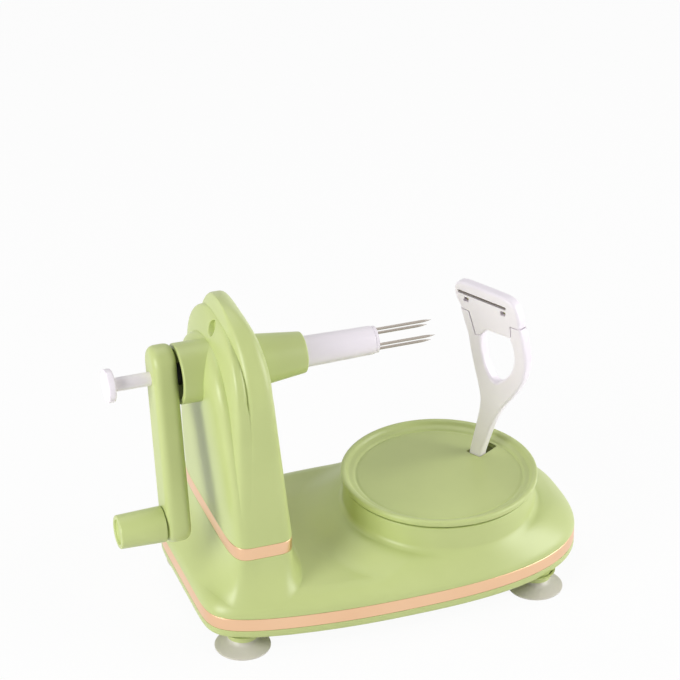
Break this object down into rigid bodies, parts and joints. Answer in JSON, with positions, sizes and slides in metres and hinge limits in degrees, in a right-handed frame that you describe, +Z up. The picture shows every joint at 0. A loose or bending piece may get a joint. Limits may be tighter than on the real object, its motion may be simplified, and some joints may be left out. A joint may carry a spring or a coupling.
{
  "type": "apple peeler",
  "caption": "Hand-cranked apple peeler: a geared base turns fruit on a fork while a sprung blade arm circles it on a turntable.",
  "frame": {"origin": "centre of the footprint, on the table", "axes": "+X from the crank to the turntable, +Y to the rear, +Z up"},
  "size_m": [0.2513, 0.128, 0.1785],
  "materials": {
    "green_plastic": "satin",
    "white_plastic": "satin",
    "rose_gold": "satin metallic",
    "steel": "bright",
    "soft_clear": "soft translucent",
    "gear_plastic": "matte"
  },
  "bodies": {
    "base": {"base_shell": "green_plastic", "base_bottom_plate": "green_plastic", "base_trim_band": "rose_gold", "suction_cup_front_left": "soft_clear", "suction_cup_front_right": "soft_clear", "suction_cup_rear_left": "soft_clear", "suction_cup_rear_right": "soft_clear", "column_shell": "green_plastic", "column_cover": "green_plastic", "column_trim_band": "rose_gold", "column_screw": "steel", "base_screws": "steel", "hub_bush": "gear_plastic", "boss_bush": "gear_plastic", "idler_axle": "steel"},
    "spindle": {"spindle_shaft": "gear_plastic", "fork_holder": "white_plastic", "fork_needles": "steel", "spindle_pinion": "gear_plastic", "crank_arm": "green_plastic", "knob_axle": "steel"},
    "knob": {"crank_knob": "green_plastic", "knob_cap": "green_plastic"},
    "ejector": {"push_rod": "white_plastic", "push_button": "white_plastic", "ejector_plate": "white_plastic"},
    "drive": {"drive_shaft": "steel", "crown_gear": "gear_plastic", "shaft_pinion": "gear_plastic"},
    "idler": {"idler_gear": "gear_plastic"},
    "turntable": {"turntable_disc": "green_plastic", "turntable_gear": "gear_plastic", "turntable_bolt": "steel", "arm_pivot_pin": "steel", "arm_spring": "steel"},
    "arm": {"peeler_arm": "white_plastic", "blade_head": "white_plastic", "peeler_blade": "steel", "blade_pins": "steel"}
  },
  "joints": [
    {"name": "turntable_turn", "type": "hinge", "parent": "base", "child": "turntable", "pos_m": [0.0528, -0.0052, 0.05], "axis": [0, 0, 1], "range_deg": [-150, 100]},
    {"name": "crank_turn", "type": "hinge", "parent": "base", "child": "spindle", "pos_m": [0, -0.0052, 0.1415], "axis": [1, 0, 0], "range_deg": [-2250, 1500]},
    {"name": "shaft_turn", "type": "hinge", "parent": "base", "child": "drive", "pos_m": [-0.05995, -0.0052, 0.07], "axis": [0, 0, 1], "range_deg": [-2250, 1500]},
    {"name": "idler_turn", "type": "hinge", "parent": "base", "child": "idler", "pos_m": [-0.0012, -0.0052, 0.02], "axis": [0, 0, 1], "range_deg": [-500, 750]},
    {"name": "knob_spin", "type": "hinge", "parent": "spindle", "child": "knob", "pos_m": [-0.1138, -0.02121, 0.06618], "axis": [1, 0, 0], "continuous": true},
    {"name": "eject_slide", "type": "slide", "parent": "spindle", "child": "ejector", "axis": [1, 0, 0], "range_m": [0, 0.018]},
    {"name": "arm_swing", "type": "hinge", "parent": "turntable", "child": "arm", "pos_m": [0.07986, 0.01043, 0.046], "axis": [-0.5, 0.866, 0], "range_deg": [0, 30], "stiffness_Nm_per_rad": 0.04, "springref_deg": -17.19}
  ],
  "couplings": [
    {"joint": "crank_turn", "follows": "turntable_turn", "ratio": 15},
    {"joint": "shaft_turn", "follows": "turntable_turn", "ratio": 15},
    {"joint": "idler_turn", "follows": "turntable_turn", "ratio": -5}
  ]
}
